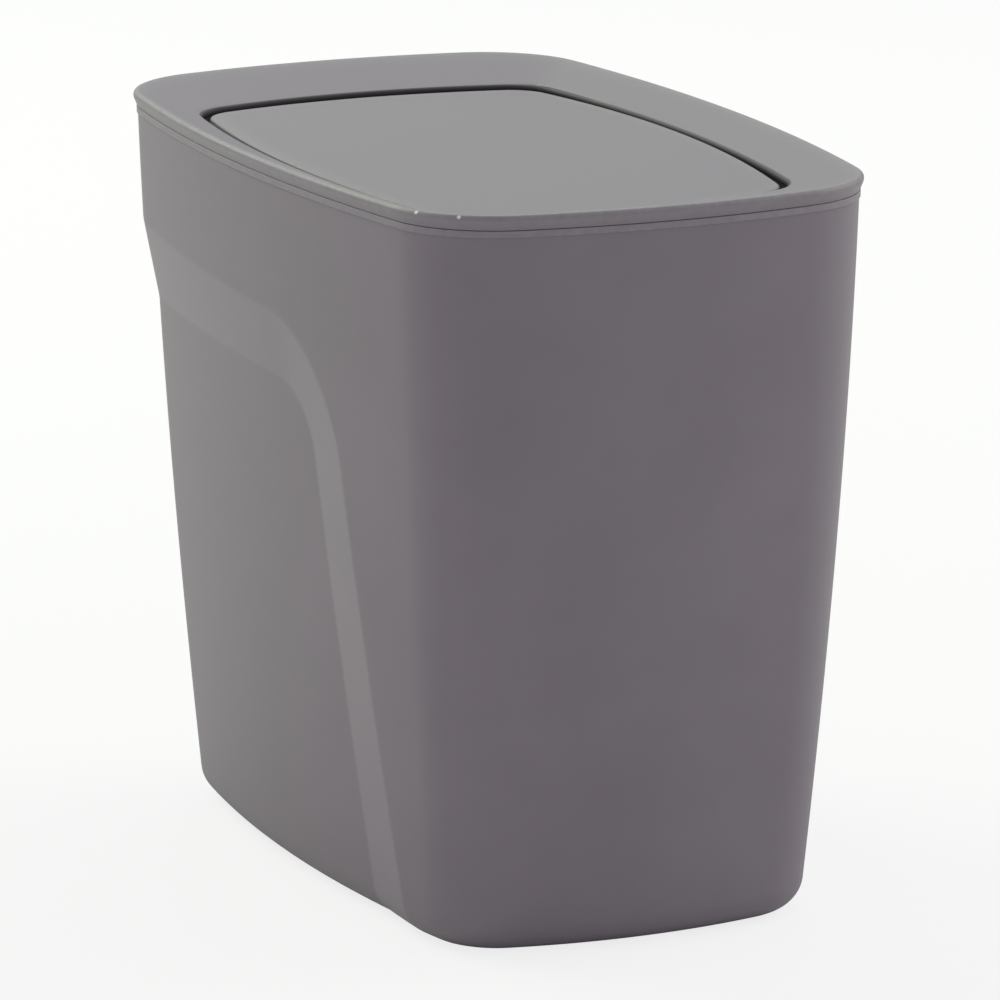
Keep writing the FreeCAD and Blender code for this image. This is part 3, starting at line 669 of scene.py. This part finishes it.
@dataclass
class BinBody:
    """Bucket: a tapered, slightly bulged shell whose rear half is stepped in."""

    lid_outline: BowedOutline
    parting_height: float
    foot: BowedOutline = BowedOutline(75.6 * MM, 128.4 * MM, 203.4 * MM, 631 * MM, 27.6 * MM)
    foot_round: float = 10.5 * MM
    setback: float = 1.4 * MM
    bulge: float = 0.0195
    wall: float = 2.2 * MM
    floor: float = 2.6 * MM
    band_height: float = 2.3 * MM
    band_proud: float = 0.35 * MM
    band_drop: float = 0.1 * MM
    tongue_inset: float = 2.2 * MM
    tongue_height: float = 2.5 * MM
    edge_break: float = 0.12 * MM
    recess_depth: float = 3.9 * MM
    edge_softness: float = 0.07
    outer: ShoulderEdge = ShoulderEdge(200.6 * MM, 0.04, -90.2 * MM, 43 * MM)
    inner: ShoulderEdge = ShoulderEdge(175.3 * MM, 0.02, -63.6 * MM, 21 * MM)
    bend_reach: float = 62 * MM
    edge_margin: float = 4 * MM
    spine_reach: float = 55 * MM

    END_COUNT: ClassVar[int] = 20
    CORNER_COUNT: ClassVar[int] = 16
    # Stations between the places where the shoulder's legs cross a side
    SIDE_COUNTS: ClassVar[tuple[int, ...]] = (12, 18, 12, 18, 26, 24)
    # Spaces between rings, close together at the shoulder's runs
    RING_SPACES: ClassVar[tuple[float, ...]] = (6.5 * MM, 1.1 * MM, 0.5 * MM, 1.2 * MM, 0.5 * MM, 4.5 * MM)
    ROUND_RINGS: ClassVar[int] = 13
    DISC_RINGS: ClassVar[int] = 6
    FOOT_WEAR: ClassVar[float] = 0.6

    def outline(self, height: float) -> BowedOutline:
        """Outer outline of the wall before the recess.

        Args:
            height: Height of the outline.

        Returns:
            The outline, between the foot's and the rim's and swelled by the bulge.
        """
        share = height / self.parting_height
        swell = 1 + self.bulge * 4 * share * (1 - share)
        rim = self.lid_outline.inset(self.setback)
        values = [mix(low, high, share) for low, high in zip(astuple(self.foot), astuple(rim))]
        return BowedOutline(values[0] * swell, values[1] * swell, *values[2:])

    def loop(self, outline: BowedOutline, height: float) -> np.ndarray:
        """Stations round an outline, close together where the shoulder's legs cross the sides.

        Args:
            outline: Outline at that height.
            height: Height at which the legs are crossed.

        Returns:
            One row per station, in the form that stretch gives.
        """
        reach = outline.side_reach
        outer, inner = self.outer.leg_at(height), self.inner.leg_at(height)
        margin = self.edge_margin
        stops = (-reach, outer - margin, outer + margin, inner - margin, inner + margin,
                 outer + self.bend_reach, reach)
        places = np.concatenate([
            np.linspace(low, high, count, endpoint=False)
            for low, high, count in zip(stops, stops[1:], self.SIDE_COUNTS)
        ] + [[reach]])
        end = outline.stretch(Arc.END, np.arange(self.END_COUNT) / self.END_COUNT)
        corner = outline.stretch(Arc.CORNER, np.arange(self.CORNER_COUNT) / self.CORNER_COUNT)
        front = np.vstack([end, corner])
        rear = front[::-1]
        return whole_loop(np.vstack([front * (1, -1, 1, -1), outline.side_at(places), rear]))

    def levels(self) -> np.ndarray:
        """Heights of the outer wall's rings above the rounded foot.

        Returns:
            The heights in rising order, from the top of the foot's rounding to the rim band.
        """
        inner, outer = self.inner, self.outer
        stops = (self.foot_round, inner.run_height - inner.bend - 4 * MM, inner.run_height - 3 * MM,
                 inner.run_height + 4 * MM, outer.run_height - 5 * MM, outer.run_height + 8 * MM,
                 self.parting_height - self.band_drop - self.band_height - self.edge_break)
        rows = [
            np.linspace(low, high, math.ceil((high - low) / space), endpoint=False)
            for low, high, space in zip(stops, stops[1:], self.RING_SPACES)
        ]
        return np.concatenate([*rows, [stops[-1]]])

    def wall_row(self, height: float, inset: float, wear: float = 0.0,
                 outline: BowedOutline | None = None) -> WallRow:
        """One ring of the wall.

        Args:
            height: Height of the ring.
            inset: How far it is inside its outline.
            wear: How much its edge is worn and painted highlit.
            outline: Its outline, or the wall's own at that height.

        Returns:
            The row, which takes the whole recess.
        """
        loop = self.loop((outline or self.outline(height)).inset(inset), height)
        outwards = np.column_stack([loop[:, 2:], np.zeros(len(loop))])
        return WallRow(at_height(loop, height), outwards, 1.0, wear)

    def disc_rows(self, height: float, inset: float) -> list[WallRow]:
        """Rings that close the wall with a level disc.

        Args:
            height: Height of the disc.
            inset: How far its rim is inside the wall's outline.

        Returns:
            The rows from the disc's spine outwards, short of its rim.
        """
        rim = self.wall_row(height, inset)
        spine = spine_of(rim.points, self.spine_reach)
        shares = np.linspace(0, 1, self.DISC_RINGS)[:-1]
        return [WallRow(mix(spine, rim.points, share), rim.outwards, share, 0.0) for share in shares]

    def rim_rows(self) -> list[WallRow]:
        """Rings of the rim band and of the tongue that the lid sits on.

        Returns:
            The rows from the band's lower edge to the tongue's top.
        """
        top = self.parting_height - self.band_drop
        low = top - self.band_height
        band = self.setback - self.band_proud
        edge = self.edge_break
        tongue, tongue_top = self.tongue_inset, self.parting_height + self.tongue_height
        # The rim band's face is paler, partly as wear and partly as a painted highlight along the band
        profile = (
            (low, band + edge, 0.0), (low + edge, band, 0.8), (top - edge, band, 0.8),
            (top, band + edge, 0.4), (top, tongue, 0.0), (tongue_top - edge, tongue, 0.0),
            (tongue_top, tongue + edge, 0.2))
        return [self.wall_row(*spot, self.lid_outline) for spot in profile]

    def rows(self) -> list[WallRow]:
        """Rings of the whole skin.

        Returns:
            The rows from the middle of the base round the rim to the middle of the floor.
        """
        turns = np.linspace(0, math.pi / 2, self.ROUND_RINGS)
        outer, inner = self.foot_round, self.foot_round - self.wall
        levels = self.levels()
        rows = self.disc_rows(0.0, outer)
        rows += [
            self.wall_row(outer * (1 - math.cos(turn)), outer * (1 - math.sin(turn)),
                          self.FOOT_WEAR * math.cos(turn) ** 2)
            for turn in turns
        ]
        rows += [self.wall_row(height, 0.0) for height in levels[1:]]
        rows += self.rim_rows()
        inside = levels[::2]
        inside = inside[inside > self.floor + inner][::-1]
        rows += [
            self.wall_row(height, self.wall)
            for height in (self.parting_height + self.tongue_height, *inside)
        ]
        rows += [
            self.wall_row(self.floor + inner * (1 - math.cos(turn)),
                          self.wall + inner * (1 - math.sin(turn)))
            for turn in turns[::-1]
        ]
        return rows + self.disc_rows(self.floor, self.wall + inner)[::-1]

    def build(self, finish: Material) -> Object:
        """Make the bucket and put it in place of its solid.

        Args:
            finish: Material of the bucket.

        Returns:
            The finished piece.
        """
        rings, outwards, shares, wear = zip(*self.rows())
        piece = skin("bin_body_moulding", list(rings), outwards=outwards, step_share=shares, wear=wear)
        sizes = {
            "Recess Depth": self.recess_depth, "Edge Softness": self.edge_softness,
            **self.outer.inputs("Outer"), **self.inner.inputs("Inner"),
        }
        SteppedWall(sizes).apply(piece, finish)
        finish_mesh(piece)
        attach(piece, Body.BIN.value)
        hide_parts("bin_body")
        return piece


@dataclass
class LidFrame:
    """Dished frame with a bead over the rim, a plug skirt and a collar round its opening."""

    outline: BowedOutline
    opening: BowedOutline
    crest: float
    pivot_height: float
    bead_foot: float = 245.1 * MM
    bead_nose: float = 248.0 * MM
    bead_foot_inset: float = 1.2 * MM
    bead_round: float = 1.4 * MM
    nose_break: float = 0.25 * MM
    crest_inset: float = 1.7 * MM
    dish_drop: float = 6.5 * MM
    thickness: float = 2.0 * MM
    lip_round: float = 2.2 * MM
    collar: float = 1.8 * MM
    collar_foot: float = 233 * MM
    # Height down the opening's wall at which the painted gap shade has faded out
    painted_gap_shade_foot: float = 237 * MM
    skirt_inset: float = 5.0 * MM
    skirt: float = 1.8 * MM
    skirt_foot: float = 234.3 * MM
    channel_top: float = 247.5 * MM
    channel_insets: tuple[float, float] = (1.9 * MM, 4.1 * MM)
    boss_radius: float = 3.0 * MM
    boss_bore: float = 1.62 * MM
    boss_reach: float = 78 * MM

    COUNTS: ClassVar[dict[Arc, int]] = {Arc.END: 34, Arc.CORNER: 24, Arc.SIDE: 40}
    BEAD_RINGS: ClassVar[int] = 9
    DISH_RINGS: ClassVar[int] = 15
    LIP_RINGS: ClassVar[int] = 11
    UNDER_RINGS: ClassVar[int] = 5

    def loop(self, inset: float) -> np.ndarray:
        """Stations of the lid's outline, moved inwards."""
        return even_loop(self.outline.inset(inset), self.COUNTS)

    def opening_loop(self, offset: float) -> np.ndarray:
        """Stations of the opening's outline, moved outwards."""
        return even_loop(self.opening.inset(-offset), self.COUNTS)

    def bead_rows(self) -> list[Row]:
        """Rows of the bead that stands over the rim.

        Returns:
            The rows from the bead's foot over its nose to the crest.
        """
        turns = np.linspace(0, math.pi / 2, self.BEAD_RINGS)
        slant = self.nose_break * self.bead_foot_inset / (self.bead_nose - self.bead_foot)
        # The crest is paler, partly as wear and partly as a painted highlight along it
        profile = [
            (self.bead_foot_inset, self.bead_foot, 0.1),
            (slant, self.bead_nose - self.nose_break, 0.5),
            (0.0, self.bead_nose + self.nose_break, 0.5),
        ]
        profile += [
            (self.bead_round * (1 - math.cos(turn)),
             self.crest - self.bead_round * (1 - math.sin(turn)), mix(0.4, 1.0, math.sin(turn)))
            for turn in turns
        ]
        profile.append((self.crest_inset, self.crest, 0.8))
        return [Row(at_height(self.loop(inset), height), wear) for inset, height, wear in profile]

    def dish_reach(self) -> np.ndarray:
        """Level distance from the crest to the opening, at each station."""
        return np.linalg.norm(self.loop(self.crest_inset)[:, :2] - self.opening_loop(0.0)[:, :2], axis=1)

    def dish_rows(self) -> list[Row]:
        """Rows of the dish and of the lip that rolls into the opening, which takes painted shade.

        Returns:
            The rows from below the crest to the foot of the roll.
        """
        crest = self.loop(self.crest_inset)
        wall = self.opening_loop(0.0)
        reach = self.dish_reach()
        slope = np.arctan2(self.dish_drop, reach)
        corner = self.crest - self.dish_drop
        radius = self.lip_round
        start = radius * (1 - np.sin(slope)) / reach
        top = at_height(crest, self.crest)
        foot = at_height(wall, corner)
        rows = [
            Row(mix(top, mix(foot, top, start[:, None]), share), mix(0.5, 0.0, min(1.0, 4 * share)))
            for share in np.linspace(0, 1, self.DISH_RINGS)[1:]
        ]
        centre = corner + radius * (np.tan(slope) - 1 / np.cos(slope))
        for share in np.linspace(0, 1, self.LIP_RINGS)[1:]:
            turn = (math.pi / 2 - slope) * (1 - share)
            away = radius * (1 - np.cos(turn))
            ring = at_height(wall, centre + radius * np.sin(turn))
            ring[:, :2] += wall[:, 2:] * away[:, None]
            # The lip's roll takes painted shade, darkest at its foot in the gap
            rows.append(Row(ring, grime=math.sqrt(math.sin(share * math.pi / 2))))
        return rows

    def inside_rows(self) -> list[Row]:
        """Rows of the collar, the underside, the skirt and the channel over the bucket's tongue.

        Returns:
            The rows from inside the collar back to the bead's foot.
        """
        reach = self.dish_reach()
        under = self.crest - self.dish_drop - self.thickness
        skirt_in = self.skirt_inset + self.skirt
        wall, outside, inside = self.opening_loop(0.0), self.opening_loop(self.collar), self.loop(skirt_in)
        collar_top = at_height(outside, under + self.dish_drop * self.collar / reach)
        skirt_top = at_height(inside, under + self.dish_drop * (1 - (skirt_in - self.crest_inset) / reach))
        rings = [at_height(wall, self.painted_gap_shade_foot), at_height(wall, self.collar_foot)]
        rings.append(at_height(outside, self.collar_foot))
        rings += [mix(collar_top, skirt_top, share) for share in np.linspace(0, 1, self.UNDER_RINGS)]
        outer, inner = self.channel_insets
        profile = (
            (skirt_in, self.skirt_foot), (self.skirt_inset, self.skirt_foot),
            (self.skirt_inset, self.bead_foot), (inner, self.bead_foot), (inner, self.channel_top),
            (outer, self.channel_top), (outer, self.bead_foot))
        rings += [at_height(self.loop(inset), height) for inset, height in profile]
        return [Row(ring) for ring in rings]

    def build(self, finish: Material) -> Object:
        """Make the lid frame and put it in place of its solid.

        Args:
            finish: Material of the lid.

        Returns:
            The finished piece.
        """
        rings, wear, grime = zip(*self.bead_rows(), *self.dish_rows(), *self.inside_rows())
        piece = skin("lid_frame_moulding", list(rings), closed=True, wear=wear, grime=grime)
        sockets = boss_pair(self.boss_radius, self.boss_bore, self.opening.half_width + self.collar / 2,
                            self.boss_reach, self.pivot_height)
        piece.data.materials.append(finish)
        drill(piece, self.boss_bore, self.boss_reach, self.pivot_height)
        join(piece, sockets)
        finish_mesh(piece)
        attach(piece, Body.LID.value)
        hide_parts("lid_frame")
        return piece


def drill(piece: Object, radius: float, reach: float, height: float) -> None:
    """Bore a piece through along X with one long round cutter.

    Args:
        piece: Closed piece to bore.
        radius: Radius of the hole.
        reach: How far the cutter reaches along X, either way.
        height: Height of the cutter's axis.
    """
    corners = ((-reach, 0.0), (-reach, radius), (reach, radius), (reach, 0.0))
    cutter = skin("cutter", [circle(place, size, height) for place, size in corners])
    finish_mesh(cutter)
    bore = piece.modifiers.new("Pivot bore", "BOOLEAN")
    bore.operation = "DIFFERENCE"
    bore.solver = "EXACT"
    bore.object = cutter
    plain_mesh(piece)
    bpy.data.objects.remove(cutter)


def join(piece: Object, others: list[Object]) -> None:
    """Join other objects into a piece, which keeps its name and material."""
    parts = [piece, *others]
    with bpy.context.temp_override(active_object=piece, object=piece, selected_editable_objects=parts):
        bpy.ops.object.join()


@dataclass
class SwingFlap:
    """Crowned panel with a deep rim, bored bosses at its pivot and ribs underneath."""

    outline: BowedOutline
    top: float
    pivot_height: float
    crown: float = 1.0 * MM
    thickness: float = 1.6 * MM
    rim: float = 2.0 * MM
    rim_foot: float = 226 * MM
    edge_round: float = 0.8 * MM
    spine_reach: float = 42 * MM
    boss_radius: float = 3.0 * MM
    boss_bore: float = 1.68 * MM
    boss_length: float = 8 * MM
    rib: float = 1.6 * MM
    rib_foot: float = 233 * MM
    rib_spacing: float = 52 * MM

    COUNTS: ClassVar[dict[Arc, int]] = {Arc.END: 34, Arc.CORNER: 20, Arc.SIDE: 36}
    PANEL_RINGS: ClassVar[int] = 12
    EDGE_RINGS: ClassVar[int] = 8

    def crowned(self, ring: np.ndarray) -> np.ndarray:
        """A ring drawn level, dropped along Y by the panel's crown."""
        drop = self.crown * (ring[:, 1] / self.outline.half_depth) ** 2
        return ring - np.column_stack([np.zeros((len(ring), 2)), drop])

    def ring(self, inset: float, height: float) -> np.ndarray:
        """Level ring on the flap's outline, moved inwards."""
        return at_height(even_loop(self.outline.inset(inset), self.COUNTS), height)

    def panel_rows(self, inset: float, height: float) -> list[Row]:
        """Rings of one face of the panel.

        Args:
            inset: How far the face's rim is inside the flap's outline.
            height: Height of the face at its middle.

        Returns:
            The rows from the face's spine to its rim.
        """
        rim = self.ring(inset, height)
        spine = spine_of(rim, self.spine_reach)
        return [Row(self.crowned(mix(spine, rim, share))) for share in np.linspace(0, 1, self.PANEL_RINGS)]

    def rows(self) -> list[Row]:
        """Rings of the whole skin.

        Returns:
            The rows from the middle of the underside round the rim to the middle of the top.
        """
        rows = self.panel_rows(self.rim, self.top - self.thickness)
        rows += [Row(self.ring(inset, self.rim_foot), 0.2) for inset in (self.rim, 0.0)]
        for turn in np.linspace(0, math.pi / 2, self.EDGE_RINGS):
            inset = self.edge_round * (1 - math.cos(turn))
            height = self.top - self.edge_round * (1 - math.sin(turn))
            rows.append(Row(self.crowned(self.ring(inset, height)), 0.6))
        return rows + self.panel_rows(self.edge_round, self.top)[-2::-1]

    def ribs(self, finish: Material) -> Object:
        """Make the ribs under the panel, two along it and one across, by a node tree.

        Args:
            finish: Material of the flap.

        Returns:
            The finished piece.
        """
        end = self.outline.inset(self.rim / 2).stretch(Arc.END, np.linspace(0, 1, END_SAMPLES))
        length = 2 * np.interp(self.rib_spacing / 2, end[:, 0], end[:, 1])
        ceiling = self.top - self.thickness / 2
        sizes = {
            "Spacing": self.rib_spacing, "Length": length,
            "Width": 2 * self.outline.half_width - self.rim, "Thickness": self.rib,
            "Height": ceiling - self.rib_foot, "Middle": (ceiling + self.rib_foot) / 2,
            "Crown": self.crown, "Half Depth": self.outline.half_depth, "Finish": finish,
        }
        piece = skin("flap_ribs", [np.zeros((3, 3)), np.zeros((3, 3))])
        run_tree(piece, rib_tree(sizes), sizes)
        piece.data.set_sharp_from_angle(angle=SHARP_TURN)
        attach(piece, Body.FLAP.value)
        return piece

    def build(self, finish: Material) -> Object:
        """Make the flap and put it in place of its solid.

        Args:
            finish: Material of the flap.

        Returns:
            The finished piece.
        """
        rings, wear, _ = zip(*self.rows())
        piece = skin("swing_flap_moulding", list(rings), wear=wear)
        finish_mesh(piece)
        side = self.outline.half_width
        bosses = boss_pair(self.boss_radius, self.boss_bore, side - self.boss_length, side - self.rim / 2,
                           self.pivot_height)
        piece.data.materials.append(finish)
        drill(piece, self.boss_bore, side + self.rim, self.pivot_height)
        join(piece, bosses)
        finish_mesh(piece)
        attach(piece, Body.FLAP.value)
        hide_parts("swing_flap")
        return piece


def rib_tree(sizes: dict) -> NodeTree:
    """Geometry node tree for upright ribs under a panel that is crowned along Y.

    Args:
        sizes: Names of the tree's inputs, each with a number or, last, the material.

    Returns:
        The new tree.
    """
    tree = bpy.data.node_groups.new("Flap ribs", "GeometryNodeTree")
    tree.interface.new_socket("Seed mesh", in_out="INPUT", socket_type="NodeSocketGeometry")
    for name, value in sizes.items():
        kind = "NodeSocketFloat" if isinstance(value, float) else "NodeSocketMaterial"
        tree.interface.new_socket(name, in_out="INPUT", socket_type=kind)
    tree.interface.new_socket("Ribs", in_out="OUTPUT", socket_type="NodeSocketGeometry")
    given = add(tree, "NodeGroupInput").outputs
    gap = add(tree, "ShaderNodeCombineXYZ", {"X": given["Spacing"]})
    back = add(tree, "ShaderNodeVectorMath", {0: gap.outputs["Vector"], "Scale": -0.5}, operation="SCALE")
    line = add(tree, "GeometryNodeMeshLine", {
        "Count": 2, "Start Location": back.outputs["Vector"], "Offset": gap.outputs["Vector"]})
    bars = []
    for across, along in (("Thickness", "Length"), ("Width", "Thickness")):
        extent = add(tree, "ShaderNodeCombineXYZ", {
            "X": given[across], "Y": given[along], "Z": given["Height"]})
        bars.append(add(tree, "GeometryNodeMeshCube", {
            "Size": extent.outputs["Vector"],
            "Vertices X": 2, "Vertices Y": RIB_STEPS + 1, "Vertices Z": 2}))
    pair = add(tree, "GeometryNodeInstanceOnPoints", {
        "Points": line.outputs["Mesh"], "Instance": bars[0].outputs["Mesh"]})
    ribs = add(tree, "GeometryNodeJoinGeometry", {"Geometry": pair.outputs["Instances"]})
    tree.links.new(bars[1].outputs["Mesh"], ribs.inputs["Geometry"])
    whole = add(tree, "GeometryNodeRealizeInstances", {"Geometry": ribs.outputs["Geometry"]})
    place = add(tree, "GeometryNodeInputPosition").outputs["Position"]
    along = add(tree, "ShaderNodeSeparateXYZ", {0: place}).outputs["Y"]
    share = maths(tree, "DIVIDE", along, given["Half Depth"])
    drop = maths(tree, "MULTIPLY", maths(tree, "MULTIPLY", share, share), given["Crown"])
    offset = add(tree, "ShaderNodeCombineXYZ", {"Z": maths(tree, "SUBTRACT", given["Middle"], drop)})
    moved = add(tree, "GeometryNodeSetPosition", {
        "Geometry": whole.outputs["Geometry"], "Offset": offset.outputs["Vector"]})
    dressed = add(tree, "GeometryNodeSetMaterial", {
        "Geometry": moved.outputs["Geometry"], "Material": given["Finish"]})
    add(tree, "NodeGroupOutput", {"Ribs": dressed.outputs["Geometry"]})
    return tree


@dataclass
class PivotPins:
    """The two push-in pins that the flap turns on, as the frame has them."""

    nodes: tuple[str, str] = ("right_pivot_pin", "left_pivot_pin")

    def dress(self, frame: dict, finish: Material) -> list[Object]:
        """Give both pins their finish.

        Args:
            frame: The loaded frame.
            finish: Material of the pins.

        Returns:
            The two pins.
        """
        pins = [frame["nodes"][name] for name in self.nodes]
        for pin in pins:
            pin.data.materials.clear()
            pin.data.materials.append(finish)
        return pins


@dataclass(frozen=True)
class SoftBox:
    """Square area lamp that faces the bin from a distance, at an angle round it and above it."""

    name: str
    azimuth: float
    elevation: float
    power: float
    colour: str = "#FFFFFF"
    width: float = 1.2
    distance: float = 2.4
    target: Point = (0.0, 0.0, 130 * MM)

    def build(self) -> Object:
        """Put the lamp in the scene, turned to its target.

        Returns:
            The lamp's object.
        """
        lamp = bpy.data.lights.new(self.name, "AREA")
        lamp.size = self.width
        lamp.energy = self.power
        lamp.color = linear(self.colour)[:3]
        away = direction(math.radians(self.azimuth), math.radians(self.elevation))
        return aimed(self.name, lamp, self.target, self.distance * away)


@dataclass
class Studio:
    """Pale seamless floor, soft lamps and an even surround."""

    floor_half: float = 8.0
    floor_colour: str = "#E8E8E8"
    floor_glow: float = 0.8
    surround: float = 0.474
    surround_colour: str = "#FAFAFF"
    lamps: tuple[SoftBox, ...] = (
        SoftBox("rear_right", 150, 35, 5.5, "#F5FFF9"),
        SoftBox("rear", 180, 35, 6.9, "#F9FFFA"),
        SoftBox("rear_left", 210, 35, 26.6, "#EFFFDD"),
        SoftBox("right", 90, 35, 18.6, "#F7FFED"),
        SoftBox("low_right", 60, 10, 6.6, "#FFF9F5"),
        SoftBox("low_left", 270, 10, 4.2, "#FFF4F8"),
    )

    def seen_by_camera(self, tree: NodeTree) -> NodeSocket:
        """Share of rays that come straight from the camera, which should see plain white."""
        return add(tree, "ShaderNodeLightPath").outputs["Is Camera Ray"]

    def build(self) -> None:
        """Make the floor, the lamps and the world."""
        half = self.floor_half
        corners = [(-half, -half, 0), (half, -half, 0), (half, half, 0), (-half, half, 0)]
        mesh = bpy.data.meshes.new("floor")
        mesh.from_pydata(corners, [], [(0, 1, 2, 3)])
        floor = linked("floor", mesh)
        material = bpy.data.materials.new("Matt paper sweep")
        tree = bare_tree(material)
        paper = add(tree, "ShaderNodeBsdfDiffuse", {"Color": linear(self.floor_colour)})
        white = add(tree, "ShaderNodeEmission", {"Strength": 1.0})
        both = add(tree, "ShaderNodeMixShader", {
            0: maths(tree, "MULTIPLY", self.seen_by_camera(tree), self.floor_glow),
            1: paper.outputs["BSDF"], 2: white.outputs["Emission"]})
        add(tree, "ShaderNodeOutputMaterial", {"Surface": both.outputs["Shader"]})
        mesh.materials.append(material)
        for lamp in self.lamps:
            lamp.build()
        self.build_world()

    def build_world(self) -> None:
        """Make the even surround, plain white where the camera sees it."""
        world = bpy.data.worlds.new("surround")
        tree = bare_tree(world)
        soft = add(tree, "ShaderNodeBackground", {
            "Color": linear(self.surround_colour), "Strength": self.surround})
        white = add(tree, "ShaderNodeBackground", {"Color": linear("#FFFFFF"), "Strength": 1.0})
        both = add(tree, "ShaderNodeMixShader", {
            0: self.seen_by_camera(tree), 1: soft.outputs["Background"], 2: white.outputs["Background"]})
        add(tree, "ShaderNodeOutputWorld", {"Surface": both.outputs["Shader"]})
        bpy.context.scene.world = world


@dataclass
class PhotoCamera:
    """Camera at the photograph's viewing angle, solved from the object's silhouette."""

    azimuth: float = math.radians(-24.2305)
    elevation: float = math.radians(13.0709)
    distance: float = 2.7
    target: Point = (-4.5 * MM, -19.35 * MM, 126.81 * MM)
    focal_pixels: float = 8018.8
    image_pixels: float = 1000.0
    sensor: float = 36.0
    far_clip: float = 50.0

    def build(self) -> Object:
        """Make the camera and use it for the scene.

        Returns:
            The camera's object.
        """
        camera = bpy.data.cameras.new("photo_camera")
        camera.sensor_width = self.sensor
        camera.lens = self.sensor * self.focal_pixels / self.image_pixels
        camera.clip_end = self.far_clip
        away = self.distance * direction(self.azimuth, self.elevation)
        holder = aimed("photo_camera", camera, self.target, away)
        bpy.context.scene.camera = holder
        return holder


def main() -> None:
    """Build the bin's pieces around the frame, then the studio and the camera."""
    logging.basicConfig(level=logging.INFO, format="%(message)s")
    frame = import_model()
    bpy.context.scene.view_settings.view_transform = "Standard"
    lid_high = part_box("lid_frame")[1]
    flap_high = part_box("swing_flap")[1]
    pivot = frame["joints"][-1]["pos_m"][2]
    lid_outline = BowedOutline(91.2 * MM, lid_high.y, end_radius=271.5 * MM, side_radius=765 * MM,
                               corner_radius=38.6 * MM)
    flap_outline = BowedOutline(71.4 * MM, flap_high.y, end_radius=200.5 * MM, side_radius=500 * MM,
                                corner_radius=15.5 * MM)
    opening = BowedOutline(72.8 * MM, flap_high.y + END_GAP, end_radius=203.1 * MM,
                           side_radius=569.6 * MM, corner_radius=18.1 * MM)
    nicks = (Scuff((-79.6 * MM, -121.1 * MM, 249.6 * MM), 0.9 * MM),
             Scuff((-70.2 * MM, -133.5 * MM, 249.4 * MM), 0.8 * MM))
    bin_finish = MouldedPolypropylene("Moulded polypropylene, bucket", "#7F7680")
    # The lid's edges are paler than the others', partly as wear and partly as a painted highlight along the
    # crest
    lid_finish = MouldedPolypropylene("Moulded polypropylene, lid", "#807881", wear=0.45, scuffs=nicks)
    flap_finish = MouldedPolypropylene("Moulded polypropylene, flap", "#807981")
    pin_finish = MouldedPolypropylene("Moulded polypropylene, pins", "#787579", roughness=0.4)
    lid = LidFrame(lid_outline, opening, lid_high.z, pivot)
    flap = SwingFlap(flap_outline, flap_high.z, pivot)
    flap_material = flap_finish.material()
    pieces = [
        BinBody(lid_outline, parting_height=245 * MM).build(bin_finish.material()),
        lid.build(lid_finish.material()),
        flap.build(flap_material),
        flap.ribs(flap_material),
        *PivotPins().dress(frame, pin_finish.material()),
    ]
    for piece in pieces:
        LOG.info("%s: %d faces", piece.name, len(piece.data.polygons))
    Studio().build()
    PhotoCamera().build()


if __name__ == "__main__":
    main()
